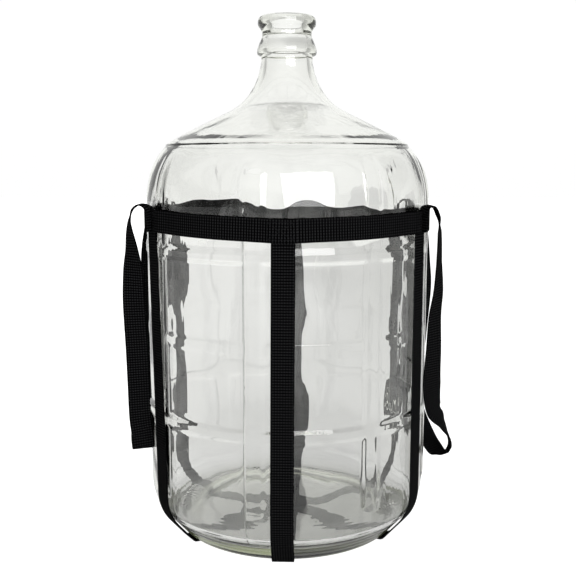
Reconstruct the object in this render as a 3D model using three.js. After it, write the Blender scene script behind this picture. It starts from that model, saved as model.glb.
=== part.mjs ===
// Five-gallon glass carboy standing in a webbing carrier.
//
// Frame: millimetres, +Z up, origin on the floor under the bottle's axis, front towards -Y.
// Azimuths are measured from the front, positive towards +X (the right-hand side).
// The carrier is a girth band, three long straps that cross under the base, and two handle
// loops that hang outside the band and swing up to carry. Each piece is its own mesh.

import * as THREE from 'three';
import { mergeVertices } from 'three/addons/utils/BufferGeometryUtils.js';

const GAP = 0.3;

const WEBBING_WIDTH = 20;
const WEBBING_THICKNESS = 1.4;

// Bottle outline: radii and heights above the floor.
const BODY_RADIUS = 133.1;
const BOTTLE_BASE = WEBBING_THICKNESS + GAP;
const BASE_RING_OUTER_RADIUS = 107;
const BASE_RING_INNER_RADIUS = 97;
const BASE_DOME_HEIGHT = 10.3;
const HEEL_TOP = 31.6;
const HEEL_WALL_FILLET = 45;
const HEEL_BASE_FILLET = 3;
const SHOULDER_BOTTOM = 314;
const SHOULDER_DEPTH = 34;
const SHOULDER_HEIGHT = 58;
const CREASE_HEIGHT = 54;
const NECK_RADIUS = 24;
const NECK_BOTTOM = 445;
const MOUTH_HEIGHT = 485.5;
const BORE_RADIUS = 16;
const BORE_EDGE_CHAMFER = 0.6;
const BORE_EDGE_DEPTH = 1.8;
const BORE_TOP = MOUTH_HEIGHT - 6;
const BORE_BOTTOM = 472;
const NECK_INNER_RADIUS = 19;
const NECK_INNER_TOP = 463;
const WALL = 5;
const FLOOR_CENTRE_HEIGHT = 23;
const FLOOR_EDGE_HEIGHT = 17.5;
const WALL_FOOT_HEIGHT = 20.5;
const FLOOR_EDGE_RADIUS = 100;
const FLOOR_WALL_FILLET = 24;
const FLOOR_EDGE_FILLET = 10;

// Radius and height along the outside of the neck, from the sloping cone up to the neck.
const NECK_FLARE = [[64.4, 393.7], [46.9, 403], [34, 417], [27.2, 430], [NECK_RADIUS, NECK_BOTTOM]];

// The bead under the lip, the groove between them, the rounded lip and its flat top.
const MOUTH_OUTLINE = [
  [24.4, 448.5], [27.4, 451.5], [27.9, 455], [26.6, 460], [24.2, 464], [23.2, 468.5],
  [24, 473], [26.4, 476.5], [27.2, 480.5], [26.2, 484], [23.5, MOUTH_HEIGHT], [18, MOUTH_HEIGHT],
];

// The inside of the neck, a wall's thickness in from its outside, down to the cone.
const BORE_FLARE = [
  [NECK_INNER_RADIUS, NECK_BOTTOM], [22, 428.5], [29.8, 414.3], [44, 398.9], [62.1, 389.3]];

// Raised ribs moulded into the body: uprights round it and hoops up it.
const RIB_HEIGHT = 1.5;
const UPRIGHT_COUNT = 8;
const UPRIGHT_OFFSET_DEG = -12;
const UPRIGHT_HALF_TOP_DEG = 2.6;
const UPRIGHT_HALF_FOOT_DEG = 3.9;
const PANEL_STEPS = 4;
const UPRIGHTS_BOTTOM = 53;
const HOOP_HEIGHTS = [122, 197, 272];
const HOOP_HALF_TOP = 5;
const HOOP_HALF_FOOT = 7;

// Carrier.
const BAND_BOTTOM = 286.5;
const BAND_TOP = BAND_BOTTOM + WEBBING_WIDTH;
const BAND_STEP_DEG = 5;
const BAND_START_DEG = -10;
const BAND_END_DEG = 365;
const STRAP_SPACING_DEG = 60;
const STRAP_CLEARANCE = 0.2;
const STRAP_INNER_RADIUS = BODY_RADIUS + RIB_HEIGHT + STRAP_CLEARANCE;
const STRAP_MIDDLE_RADIUS = STRAP_INNER_RADIUS + WEBBING_THICKNESS / 2;
const STRAP_OUTER_RADIUS = STRAP_INNER_RADIUS + WEBBING_THICKNESS;
const STRAP_TOP = 293;
const STRAP_HEEL_CLEARANCE = 1;
const STRAP_WALL_BEND = 47;
const STRAP_BASE_BEND = 5;
const CROSSING_HALF_LENGTH = 19;
const CROSSING_RAMP = 16;
const BAND_GLASS_CLEARANCE = 0.4;
const BAND_STRAP_CLEARANCE = 0.9;
const BAND_OVER_GLASS_RADIUS = BODY_RADIUS + RIB_HEIGHT + BAND_GLASS_CLEARANCE;
const BAND_OVER_STRAP_RADIUS = STRAP_OUTER_RADIUS + BAND_STRAP_CLEARANCE;

// Handles: each hangs from a line parallel to Y above the band and just outside it.
const HANDLE_PIVOT_X = 136;
const HANDLE_PIVOT_Z = 311;
const HANDLE_LEG_Y = 66;
const HANDLE_END_BOTTOM = STRAP_TOP + 1;
const HANDLE_STEPS = 64;
const HANDLE_END_STEPS = 12;

// One leg of a loop from the pivot down to the middle of its bottom: how far it is out from the
// pivot, in from HANDLE_LEG_Y and down, and its twist, from 0 facing outwards to 1 edge-on.
const HANDLE_LEG = [
  { out: 0, inwards: 0, down: 0, twist: 0 },
  { out: 1.5, inwards: 0, down: 8, twist: 0.05 },
  { out: 2, inwards: 1, down: 25, twist: 0.35 },
  { out: 2, inwards: 3, down: 50, twist: 0.85 },
  { out: 2, inwards: 6, down: 80, twist: 1 },
  { out: 4, inwards: 12, down: 140, twist: 1 },
  { out: 6, inwards: 20, down: 190, twist: 1 },
  { out: 9, inwards: 35, down: 225, twist: 1 },
  { out: 10, inwards: HANDLE_LEG_Y, down: 239, twist: 1 },
];

// The bend of a handle's end over the band, up from its top edge: how far out and up, then how
// far it stops short of the pivot and above it.
const END_BEND = [[0, -6], [0.5, 0.5], [4, 4.5]];
const END_CREST = [6, 1.4];
const END_TIP = [1.6, 0.8];

// Thread patches: a square sewn round with a cross in it.
const STITCH_SIZE = 15;
const STITCH_LINE = 1.2;
const STITCH_THICKNESS = 0.5;

const glass = { color: 0xe3e9e4, roughness: 0.04, metalness: 0 };
const webbing = { color: 0x151517, roughness: 0.85, metalness: 0 };
const thread = { color: 0x202022, roughness: 0.7, metalness: 0 };

const model = new THREE.Group();

function addMesh(name, geometry, look) {
  const mesh = new THREE.Mesh(geometry, new THREE.MeshStandardMaterial(look));
  mesh.name = name;
  model.add(mesh);
  return mesh;
}

const radians = THREE.MathUtils.degToRad;

// Points of a polyline in a plane with each inner corner rounded to its own radius.
function roundedPolyline(corners, radii, stepsPerCorner = 5) {
  const points = [corners[0]];
  for (let i = 1; i < corners.length - 1; i += 1) {
    const back = corners[i - 1].clone().sub(corners[i]).normalize();
    const ahead = corners[i + 1].clone().sub(corners[i]).normalize();
    const reach = radii[i - 1] / Math.tan(Math.acos(back.dot(ahead)) / 2);
    const start = corners[i].clone().addScaledVector(back, reach);
    const end = corners[i].clone().addScaledVector(ahead, reach);
    const towards = back.clone().add(ahead).normalize();
    const centre = corners[i].clone().addScaledVector(towards, Math.hypot(reach, radii[i - 1]));
    const from = start.clone().sub(centre);
    const turn = Math.atan2(from.cross(end.clone().sub(centre)), from.dot(end.clone().sub(centre)));
    for (let step = 0; step <= stepsPerCorner; step += 1) {
      points.push(start.clone().rotateAround(centre, (turn * step) / stepsPerCorner));
    }
  }
  points.push(corners[corners.length - 1]);
  return points;
}

// ---------------------------------------------------------------- bottle

// One ring of the bottle's surface: radius, height, and how far the ribs rise there.
const ring = (radius, height, upright = 0, hoop = 0) => ({ radius, height, upright, hoop });

function shoulderRings(inset, steps, upright) {
  const creaseAngle = Math.asin(CREASE_HEIGHT / SHOULDER_HEIGHT);
  const arc = new THREE.EllipseCurve(
    BODY_RADIUS - SHOULDER_DEPTH, SHOULDER_BOTTOM,
    SHOULDER_DEPTH - inset, SHOULDER_HEIGHT - inset, 0, creaseAngle);
  return arc.getPoints(steps).map((p, i) => ring(p.x, p.y, i < steps ? upright : 0));
}

const outlinePoints = (outline) => outline.map(([radius, height]) => new THREE.Vector2(radius, height));

// A shallow dome inside the ring that the bottle stands on.
function underside() {
  const arc = new THREE.EllipseCurve(
    0, BOTTLE_BASE, BASE_RING_INNER_RADIUS, BASE_DOME_HEIGHT, 0, Math.PI / 2);
  return arc.getPoints(3).reverse().map((p) => ring(p.x, p.y));
}

function heel() {
  const corners = [
    new THREE.Vector2(BASE_RING_INNER_RADIUS, BOTTLE_BASE),
    new THREE.Vector2(BASE_RING_OUTER_RADIUS, BOTTLE_BASE),
    new THREE.Vector2(BODY_RADIUS, HEEL_TOP),
    new THREE.Vector2(BODY_RADIUS, 2 * HEEL_TOP),
  ];
  const points = roundedPolyline(corners, [HEEL_BASE_FILLET, HEEL_WALL_FILLET], 3);
  return points.slice(1, -1).map((p) => ring(p.x, p.y));
}

function ribbedWall() {
  const rings = [
    ring(BODY_RADIUS, UPRIGHTS_BOTTOM),
    ring(BODY_RADIUS, UPRIGHTS_BOTTOM + RIB_HEIGHT, 1),
  ];
  for (const middle of HOOP_HEIGHTS) {
    rings.push(ring(BODY_RADIUS, middle - HOOP_HALF_FOOT, 1));
    rings.push(ring(BODY_RADIUS, middle - HOOP_HALF_TOP, 1, 1));
    rings.push(ring(BODY_RADIUS, middle + HOOP_HALF_TOP, 1, 1));
    rings.push(ring(BODY_RADIUS, middle + HOOP_HALF_FOOT, 1));
  }
  return rings;
}

const neckFlare = () => new THREE.SplineCurve(outlinePoints(NECK_FLARE)).getPoints(6);

function inside() {
  const flare = new THREE.SplineCurve(outlinePoints(BORE_FLARE)).getPoints(5);
  const corners = outlinePoints([
    [BODY_RADIUS - WALL, SHOULDER_BOTTOM],
    [BODY_RADIUS - WALL, WALL_FOOT_HEIGHT],
    [FLOOR_EDGE_RADIUS, FLOOR_EDGE_HEIGHT],
    [0, FLOOR_CENTRE_HEIGHT],
  ]);
  const floor = roundedPolyline(corners, [FLOOR_WALL_FILLET, FLOOR_EDGE_FILLET], 3);
  return [
    ring(BORE_RADIUS + BORE_EDGE_CHAMFER, MOUTH_HEIGHT - BORE_EDGE_DEPTH),
    ring(BORE_RADIUS, BORE_TOP),
    ring(BORE_RADIUS, BORE_BOTTOM),
    ring(NECK_INNER_RADIUS, NECK_INNER_TOP),
    ...flare.map((p) => ring(p.x, p.y)),
    ...shoulderRings(WALL, 4, 0).reverse(),
    ...floor.slice(1).map((p) => ring(p.x, p.y)),
  ];
}

// Azimuth of each column of the surface: four columns on an upright's flanks, the rest evenly
// across the panel up to the next upright.
function columnAzimuth(column) {
  const columnsPerUpright = 3 + PANEL_STEPS;
  const upright = Math.floor(column / columnsPerUpright);
  const place = column % columnsPerUpright;
  const pitch = 360 / UPRIGHT_COUNT;
  const flanks = [
    -UPRIGHT_HALF_FOOT_DEG, -UPRIGHT_HALF_TOP_DEG, UPRIGHT_HALF_TOP_DEG, UPRIGHT_HALF_FOOT_DEG];
  const panelStep = (pitch - 2 * UPRIGHT_HALF_FOOT_DEG) / PANEL_STEPS;
  const offset = place < flanks.length
    ? flanks[place]
    : UPRIGHT_HALF_FOOT_DEG + (place - flanks.length + 1) * panelStep;
  const onUpright = place === 1 || place === 2;
  return { azimuth: radians(UPRIGHT_OFFSET_DEG + upright * pitch + offset), onUpright };
}

function bottleGeometry() {
  const neckAndMouth = [...neckFlare(), ...outlinePoints(MOUTH_OUTLINE)];
  const rings = [
    ...underside(), ...heel(), ...ribbedWall(), ...shoulderRings(0, 5, 1),
    ...neckAndMouth.map((p) => ring(p.x, p.y)), ...inside(),
  ];
  const columns = UPRIGHT_COUNT * (3 + PANEL_STEPS);
  const profile = rings.map((r) => new THREE.Vector2(r.radius, r.height));
  const geometry = new THREE.LatheGeometry(profile, columns);
  geometry.rotateX(Math.PI / 2);
  const position = geometry.getAttribute('position');
  for (let column = 0; column <= columns; column += 1) {
    const { azimuth, onUpright } = columnAzimuth(column % columns);
    rings.forEach((r, row) => {
      const rise = RIB_HEIGHT * Math.max(r.hoop, onUpright ? r.upright : 0);
      const radius = r.radius + rise;
      const x = radius * Math.sin(azimuth);
      const y = -radius * Math.cos(azimuth);
      position.setXYZ(column * rings.length + row, x, y, r.height);
    });
  }
  return geometry;
}

// ---------------------------------------------------------------- straps

// Closed outline of a strip: its middle line shifted half the thickness to each side.
function stripOutline(middle, thickness) {
  const left = [];
  const right = [];
  middle.forEach((point, i) => {
    const before = middle[Math.max(i - 1, 0)];
    const after = middle[Math.min(i + 1, middle.length - 1)];
    const along = after.clone().sub(before).normalize();
    const side = new THREE.Vector2(-along.y, along.x).multiplyScalar(thickness / 2);
    left.push(point.clone().add(side));
    right.push(point.clone().sub(side));
  });
  return new THREE.Shape([...left, ...right.reverse()]);
}

// Half of a long strap's side view: from its top edge under the band down the wall, round the
// heel and along the floor to the middle, raised there to lie over the straps below it.
function halfStrap(layer, side) {
  const floor = WEBBING_THICKNESS / 2;
  const raised = floor + layer * (WEBBING_THICKNESS + GAP);
  const corners = [
    new THREE.Vector2(STRAP_MIDDLE_RADIUS, STRAP_TOP),
    new THREE.Vector2(STRAP_MIDDLE_RADIUS, HEEL_TOP + STRAP_HEEL_CLEARANCE),
    new THREE.Vector2(BASE_RING_OUTER_RADIUS + STRAP_HEEL_CLEARANCE, floor),
    new THREE.Vector2(CROSSING_HALF_LENGTH + CROSSING_RAMP, floor),
  ];
  const points = roundedPolyline(corners, [STRAP_WALL_BEND, STRAP_BASE_BEND], 8);
  points.push(new THREE.Vector2(CROSSING_HALF_LENGTH, raised));
  return points.map((p) => new THREE.Vector2(side * p.x, p.y));
}

function strapGeometry(layer, azimuthDeg) {
  const middle = [...halfStrap(layer, -1), ...halfStrap(layer, 1).reverse()];
  const shape = stripOutline(middle, WEBBING_THICKNESS);
  const geometry = new THREE.ExtrudeGeometry(shape, { depth: WEBBING_WIDTH, bevelEnabled: false });
  geometry.translate(0, 0, -WEBBING_WIDTH / 2);
  geometry.rotateX(Math.PI / 2);
  geometry.rotateZ(radians(azimuthDeg - 90));
  return geometry;
}

// ---------------------------------------------------------------- girth band

// One length of webbing that goes right round and laps over its own start at the front.
function bandGeometry() {
  const middle = [];
  for (let azimuthDeg = BAND_START_DEG; azimuthDeg <= BAND_END_DEG; azimuthDeg += BAND_STEP_DEG) {
    const nearestStrap = STRAP_SPACING_DEG * Math.round(azimuthDeg / STRAP_SPACING_DEG);
    const fromStrap = Math.abs(azimuthDeg - nearestStrap);
    const lapped = azimuthDeg >= 360 + BAND_START_DEG - BAND_STEP_DEG;
    const inner = fromStrap <= BAND_STEP_DEG ? BAND_OVER_STRAP_RADIUS : BAND_OVER_GLASS_RADIUS;
    const radius = lapped ? BAND_OVER_STRAP_RADIUS + WEBBING_THICKNESS + 2 * GAP : inner;
    const centre = radius + WEBBING_THICKNESS / 2;
    const azimuth = radians(azimuthDeg - 90);
    middle.push(new THREE.Vector2(centre * Math.cos(azimuth), centre * Math.sin(azimuth)));
  }
  const shape = stripOutline(middle, WEBBING_THICKNESS);
  const geometry = new THREE.ExtrudeGeometry(shape, { depth: WEBBING_WIDTH, bevelEnabled: false });
  geometry.translate(0, 0, BAND_BOTTOM);
  return geometry;
}

// ---------------------------------------------------------------- handles

// A strip of webbing swept along a curve. Its width follows the given directions, one at each
// of the curve's points, so it can twist.
function ribbonGeometry(points, widthDirections, steps) {
  const curve = new THREE.CatmullRomCurve3(points, false, 'centripetal');
  const corners = [];
  for (let step = 0; step <= steps; step += 1) {
    const t = step / steps;
    const centre = curve.getPoint(t);
    const along = curve.getTangent(t);
    const place = t * (points.length - 1);
    const from = Math.min(Math.floor(place), points.length - 2);
    const across = widthDirections[from].clone().lerp(widthDirections[from + 1], place - from);
    across.addScaledVector(along, -across.dot(along)).normalize().multiplyScalar(WEBBING_WIDTH / 2);
    const out = along.clone().cross(across).normalize().multiplyScalar(WEBBING_THICKNESS / 2);
    for (const [a, b] of [[1, 1], [-1, 1], [-1, -1], [1, -1]]) {
      corners.push(centre.clone().addScaledVector(across, a).addScaledVector(out, b));
    }
  }
  const faces = [0, 2, 1, 0, 3, 2];
  for (let step = 0; step < steps; step += 1) {
    for (let side = 0; side < 4; side += 1) {
      const a = 4 * step + side;
      const b = 4 * step + ((side + 1) % 4);
      faces.push(a, b, b + 4, a, b + 4, a + 4);
    }
  }
  const last = 4 * steps;
  faces.push(last, last + 1, last + 2, last, last + 2, last + 3);
  const geometry = new THREE.BufferGeometry().setFromPoints(corners);
  geometry.setIndex(faces);
  geometry.computeVertexNormals();
  return geometry;
}

// The sewn end of a handle: up from under the band beside a strap's top, then over outwards.
function handleEndGeometry(side, end) {
  const azimuth = radians(STRAP_SPACING_DEG);
  const tangent = new THREE.Vector3(side * Math.cos(azimuth), -end * Math.sin(azimuth), 0);
  const alongY = new THREE.Vector3(0, -end, 0);
  const at = (radius, height) => new THREE.Vector3(
    side * radius * Math.sin(azimuth), end * radius * Math.cos(azimuth), height);
  const shortOfPivot = ([short, above]) => new THREE.Vector3(
    side * (HANDLE_PIVOT_X - short), end * HANDLE_LEG_Y, HANDLE_PIVOT_Z + above);
  const points = [
    at(STRAP_MIDDLE_RADIUS, HANDLE_END_BOTTOM),
    ...END_BEND.map(([outwards, up]) => at(STRAP_MIDDLE_RADIUS + outwards, BAND_TOP + up)),
    shortOfPivot(END_CREST),
    shortOfPivot(END_TIP),
  ];
  const middleWidth = tangent.clone().lerp(alongY, 0.5);
  const widths = [tangent, tangent, tangent, middleWidth, alongY, alongY];
  return ribbonGeometry(points, widths, HANDLE_END_STEPS);
}

// The free loop: down from the pivot line, turning edge-on to the bottle, round the bottom and
// up again. The legs lean together and the bottom stands out to clear the glass.
function handleLoopGeometry(side) {
  const flat = new THREE.Vector3(0, 1, 0);
  const edgeOn = new THREE.Vector3(side, 0, 0);
  const frontLeg = HANDLE_LEG.slice(0, -1).map((place) => ({ ...place, end: -1 }));
  const rearLeg = HANDLE_LEG.map((place) => ({ ...place, end: 1 }));
  const route = [...frontLeg, ...rearLeg.reverse()];
  const points = route.map((p) => new THREE.Vector3(
    side * (HANDLE_PIVOT_X + p.out), p.end * (HANDLE_LEG_Y - p.inwards), HANDLE_PIVOT_Z - p.down));
  const widths = route.map((p) => flat.clone().multiplyScalar(-p.end * side).lerp(edgeOn, p.twist));
  return ribbonGeometry(points, widths, HANDLE_STEPS);
}

// ---------------------------------------------------------------- thread

// A boxed cross of stitching, drawn as one flat piece of thread lines, standing up in X and Y.
function stitchGeometry() {
  const half = STITCH_SIZE / 2;
  const shape = new THREE.Shape([
    new THREE.Vector2(-half, -half),
    new THREE.Vector2(half, -half),
    new THREE.Vector2(half, half),
    new THREE.Vector2(-half, half),
  ]);
  const near = STITCH_LINE * Math.SQRT1_2;
  const far = half - STITCH_LINE;
  const spread = far - near;
  for (let quarter = 0; quarter < 4; quarter += 1) {
    const window = [
      new THREE.Vector2(near, 0),
      new THREE.Vector2(far, -spread),
      new THREE.Vector2(far, spread),
    ];
    const centre = new THREE.Vector2(0, 0);
    shape.holes.push(new THREE.Path(window.map((p) => p.rotateAround(centre, (quarter * Math.PI) / 2))));
  }
  return new THREE.ExtrudeGeometry(shape, { depth: STITCH_THICKNESS, bevelEnabled: false });
}

// Stands a stitch patch on the band at one azimuth, clear of its outer face.
function addBandStitch(name, azimuthDeg, radius) {
  const geometry = stitchGeometry();
  geometry.rotateX(Math.PI / 2);
  geometry.translate(0, -radius, (BAND_BOTTOM + BAND_TOP) / 2);
  geometry.rotateZ(radians(azimuthDeg));
  addMesh(name, geometry, thread);
}

// ---------------------------------------------------------------- assembly

const weld = (geometry) => {
  geometry.deleteAttribute('normal');
  geometry.deleteAttribute('uv');
  return mergeVertices(geometry, 1e-4);
};

addMesh('glass_bottle', weld(bottleGeometry()), glass);

const longStraps = [
  ['front_to_rear_strap', 0],
  ['right_front_to_left_rear_strap', STRAP_SPACING_DEG],
  ['left_front_to_right_rear_strap', -STRAP_SPACING_DEG],
];
longStraps.forEach(([name, azimuthDeg], layer) => {
  addMesh(name, strapGeometry(layer, azimuthDeg), webbing);
});

addMesh('girth_band', bandGeometry(), webbing);

const sides = [['left', -1], ['right', 1]];
const ends = [['front', -1], ['rear', 1]];
for (const [sideName, side] of sides) {
  addMesh(`${sideName}_handle_loop`, handleLoopGeometry(side), webbing);
  for (const [endName, end] of ends) {
    addMesh(`${sideName}_handle_${endName}_end`, handleEndGeometry(side, end), webbing);
  }
}

const bandOuterOverStrap = BAND_OVER_STRAP_RADIUS + WEBBING_THICKNESS;
const lapOuter = bandOuterOverStrap + WEBBING_THICKNESS + 2 * GAP;
addBandStitch('band_lap_stitching', 0, lapOuter + GAP);

// The seams over the other straps, in order round the band from the lap.
const strapSeams = ['right_front', 'right_rear', 'rear', 'left_rear', 'left_front'];
strapSeams.forEach((name, i) => {
  addBandStitch(`${name}_stitching`, (i + 1) * STRAP_SPACING_DEG, bandOuterOverStrap + GAP);
});

const topStrapFace = WEBBING_THICKNESS + 2 * (WEBBING_THICKNESS + GAP);
const crossingStitch = stitchGeometry();
crossingStitch.translate(0, 0, topStrapFace + GAP);
addMesh('base_crossing_stitching', crossingStitch, thread);

export default model;
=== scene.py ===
"""Glass carboy in its webbing carrier: the looks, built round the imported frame.

Metres, +Z up, front towards -Y. Azimuths are measured from the front, positive towards +X.
"""

import math

import bpy
import numpy as np
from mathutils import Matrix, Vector


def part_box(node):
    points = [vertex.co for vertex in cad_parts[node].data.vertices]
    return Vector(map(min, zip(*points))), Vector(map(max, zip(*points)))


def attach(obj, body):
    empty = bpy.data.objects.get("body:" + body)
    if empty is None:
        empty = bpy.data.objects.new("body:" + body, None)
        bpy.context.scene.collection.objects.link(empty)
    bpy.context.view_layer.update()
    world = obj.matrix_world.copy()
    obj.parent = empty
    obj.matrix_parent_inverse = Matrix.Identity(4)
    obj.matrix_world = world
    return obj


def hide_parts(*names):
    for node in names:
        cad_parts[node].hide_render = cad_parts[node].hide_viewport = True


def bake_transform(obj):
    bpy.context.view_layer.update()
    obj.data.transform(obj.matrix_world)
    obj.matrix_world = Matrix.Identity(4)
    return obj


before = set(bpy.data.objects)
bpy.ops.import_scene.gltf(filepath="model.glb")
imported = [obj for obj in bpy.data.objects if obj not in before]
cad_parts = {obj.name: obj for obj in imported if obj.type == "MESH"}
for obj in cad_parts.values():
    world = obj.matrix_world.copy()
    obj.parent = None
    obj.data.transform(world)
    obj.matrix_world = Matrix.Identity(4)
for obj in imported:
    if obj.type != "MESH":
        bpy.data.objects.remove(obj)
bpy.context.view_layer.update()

MM = 0.001

# ------------------------------------------------------------------ sizes taken from the frame

bottle_low, bottle_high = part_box("glass_bottle")
band_low, band_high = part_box("girth_band")
RIB_HEIGHT = 1.5 * MM
BODY_RADIUS = bottle_high.x - RIB_HEIGHT
BOTTLE_BASE = bottle_low.z
WEBBING_WIDTH = band_high.z - band_low.z
WEBBING_THICKNESS = 1.4 * MM


# ------------------------------------------------------------------ camera

CAMERA_DISTANCE = 820 * MM
CAMERA_ASIDE = 1 * MM
CAMERA_HEIGHT = 349.8 * MM
CAMERA_PITCH_DEG = 8.29
CAMERA_LENS = 53.2
CAMERA_SENSOR = 36
CAMERA_CLIP = 10 * MM


def make_camera():
    data = bpy.data.cameras.new("camera")
    data.lens = CAMERA_LENS
    data.sensor_width = CAMERA_SENSOR
    data.clip_start = CAMERA_CLIP
    camera = bpy.data.objects.new("camera", data)
    camera.location = (CAMERA_ASIDE, -CAMERA_DISTANCE, CAMERA_HEIGHT)
    camera.rotation_euler = (math.radians(90 - CAMERA_PITCH_DEG), 0, 0)
    bpy.context.scene.collection.objects.link(camera)
    bpy.context.scene.camera = camera


make_camera()


# ------------------------------------------------------------------ mesh helpers

# Half the angle between two sides of a polyline, above which their corner is left as it is.
NEARLY_STRAIGHT = math.radians(89.9)


def new_object(name, vertices, faces, material, uvs=None):
    """A smooth shaded object. uvs holds one pair for each corner of each face."""
    mesh = bpy.data.meshes.new(name)
    mesh.vertices.add(len(vertices))
    mesh.vertices.foreach_set("co", np.asarray(vertices, np.float32).ravel())
    sizes = np.array([len(face) for face in faces], np.int32)
    starts = np.concatenate([[0], np.cumsum(sizes)[:-1]]).astype(np.int32)
    corners = np.concatenate([np.asarray(face, np.int32) for face in faces])
    mesh.loops.add(len(corners))
    mesh.loops.foreach_set("vertex_index", corners)
    mesh.polygons.add(len(faces))
    mesh.polygons.foreach_set("loop_start", starts)
    mesh.polygons.foreach_set("use_smooth", np.ones(len(faces), bool))
    mesh.update(calc_edges=True)
    if uvs is not None:
        layer = mesh.uv_layers.new(name="UVMap")
        layer.data.foreach_set("uv", np.asarray(uvs, np.float32).ravel())
    mesh.materials.append(material)
    made = bpy.data.objects.new(name, mesh)
    bpy.context.scene.collection.objects.link(made)
    return made


def on_line(at, low, high, value_low, value_high):
    """The value at a knot, on the straight line through the values at two others."""
    return (high - at) / (high - low) * value_low + (at - low) / (high - low) * value_high


def catmull_rom(points, per_span):
    """Points of a smooth curve through the given ones, and each one's place among them."""
    points = np.asarray(points, float)
    padded = np.vstack([2 * points[0] - points[1], points, 2 * points[-1] - points[-2]])
    gaps = np.linalg.norm(np.diff(padded, axis=0), axis=1)
    knots = np.concatenate([[0], np.cumsum(np.sqrt(gaps))])
    curve, places = [], []
    for span in range(len(points) - 1):
        k0, k1, k2, k3 = knots[span:span + 4]
        p0, p1, p2, p3 = padded[span:span + 4]
        last = span == len(points) - 2
        for share in np.linspace(0, 1, per_span + 1)[: None if last else -1]:
            at = k1 + share * (k2 - k1)
            before = on_line(at, k0, k1, p0, p1)
            here = on_line(at, k1, k2, p1, p2)
            after = on_line(at, k2, k3, p2, p3)
            leaving = on_line(at, k0, k2, before, here)
            arriving = on_line(at, k1, k3, here, after)
            curve.append(on_line(at, k1, k2, leaving, arriving))
            places.append(span + share)
    return np.array(curve), np.array(places)


def rounded_polyline(corners, radii, steps):
    """A polyline in a plane with each inner corner rounded to its own radius."""
    corners = [np.array(corner, float) for corner in corners]
    points = [corners[0]]
    for before, corner, after, radius in zip(corners, corners[1:], corners[2:], radii):
        back = (before - corner) / np.linalg.norm(before - corner)
        ahead = (after - corner) / np.linalg.norm(after - corner)
        half = math.acos(float(np.clip(back @ ahead, -1, 1))) / 2
        if half > NEARLY_STRAIGHT:
            points.append(corner)
            continue
        reach = radius / math.tan(half)
        middle = (back + ahead) / np.linalg.norm(back + ahead)
        centre = corner + middle * radius / math.sin(half)
        start = corner + back * reach - centre
        end = corner + ahead * reach - centre
        turn = math.atan2(start[0] * end[1] - start[1] * end[0], start @ end)
        for step in range(steps + 1):
            angle = turn * step / steps
            cosine, sine = math.cos(angle), math.sin(angle)
            turned = [cosine * start[0] - sine * start[1], sine * start[0] + cosine * start[1]]
            points.append(centre + np.array(turned))
    points.append(corners[-1])
    return np.array(points)


def evenly(points, step, values=None):
    """A dense polyline resampled at an even step, with the values along it resampled the same way."""
    run = np.concatenate([[0], np.cumsum(np.linalg.norm(np.diff(points, axis=0), axis=1))])
    count = max(2, int(round(run[-1] / step)) + 1)
    at = np.linspace(0, run[-1], count)

    def resampled(table):
        return np.stack([np.interp(at, run, column) for column in table.T], 1)

    if values is None:
        return resampled(points)
    return resampled(points), resampled(values)


def eased(share):
    """A share from 0 to 1, levelled off at both ends."""
    return share * share * (3 - 2 * share)


def bump(distance, half_top, half_foot):
    """1 within half_top of a rib's middle, easing to 0 at half_foot."""
    return eased(np.clip((half_foot - np.abs(distance)) / (half_foot - half_top), 0, 1))


# ------------------------------------------------------------------ material helpers

WHITE = (1, 1, 1, 1)


def new_material(name):
    material = bpy.data.materials.new(name)
    material.use_nodes = True
    return material, material.node_tree.nodes, material.node_tree.links


def math_node(nodes, links, operation, *inputs):
    node = nodes.new("ShaderNodeMath")
    node.operation = operation
    for slot, value in zip(node.inputs, inputs):
        if isinstance(value, (int, float)):
            slot.default_value = value
        else:
            links.new(value, slot)
    return node.outputs[0]


def set_inputs(node, settings):
    for name, value in settings.items():
        node.inputs[name].default_value = value


def stretched_noise(nodes, links, coordinates, stretch, detail):
    """Noise with its own number of features to the metre along each axis."""
    scaled = nodes.new("ShaderNodeVectorMath")
    scaled.operation = "MULTIPLY"
    scaled.inputs[1].default_value = stretch
    links.new(coordinates, scaled.inputs[0])
    noise = nodes.new("ShaderNodeTexNoise")
    set_inputs(noise, {"Scale": 1, "Detail": detail})
    links.new(scaled.outputs[0], noise.inputs["Vector"])
    return noise.outputs["Fac"]


def add_relief(nodes, links, height, strength, distance):
    """Bumps a material's surface by a height, counted in the given distance."""
    relief = nodes.new("ShaderNodeBump")
    set_inputs(relief, {"Strength": strength, "Distance": distance})
    links.new(height, relief.inputs["Height"])
    links.new(relief.outputs["Normal"], nodes["Principled BSDF"].inputs["Normal"])


def add_painted_shading(nodes, links, value, dark, light, dark_up_to=0):
    """Colours a material from dark to light as the value rises to 1: painted shade where it is low,
    painted highlight where it is high.
    """
    shade = nodes.new("ShaderNodeValToRGB")
    shade.color_ramp.elements[0].position = dark_up_to
    shade.color_ramp.elements[0].color = dark
    shade.color_ramp.elements[1].color = light
    links.new(value, shade.inputs["Fac"])
    links.new(shade.outputs["Color"], nodes["Principled BSDF"].inputs["Base Color"])


def smooth_ramp(nodes, links, value, span, results):
    """Eases from the first result to the second as the value crosses the span."""
    node = nodes.new("ShaderNodeMapRange")
    node.interpolation_type = "SMOOTHSTEP"
    set_inputs(node, {"From Min": span[0], "From Max": span[1],
                      "To Min": results[0], "To Max": results[1]})
    links.new(value, node.inputs["Value"])
    return node.outputs[0]


# ------------------------------------------------------------------ glass

GLASS_IOR = 1.5
GLASS_TINT = (0.80, 0.815, 0.73, 1)
GLASS_DENSITY = 28.0
STREAK_HEIGHT = 0.12 * MM
STREAKS_PER_METRE = (90, 90, 7)
STREAK_DETAIL = 2
KNURL_COUNT = 220
KNURL_HEIGHT = 0.15 * MM
KNURL_FULL_BELOW = 3 * MM
KNURL_GONE_ABOVE = 7 * MM


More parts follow.
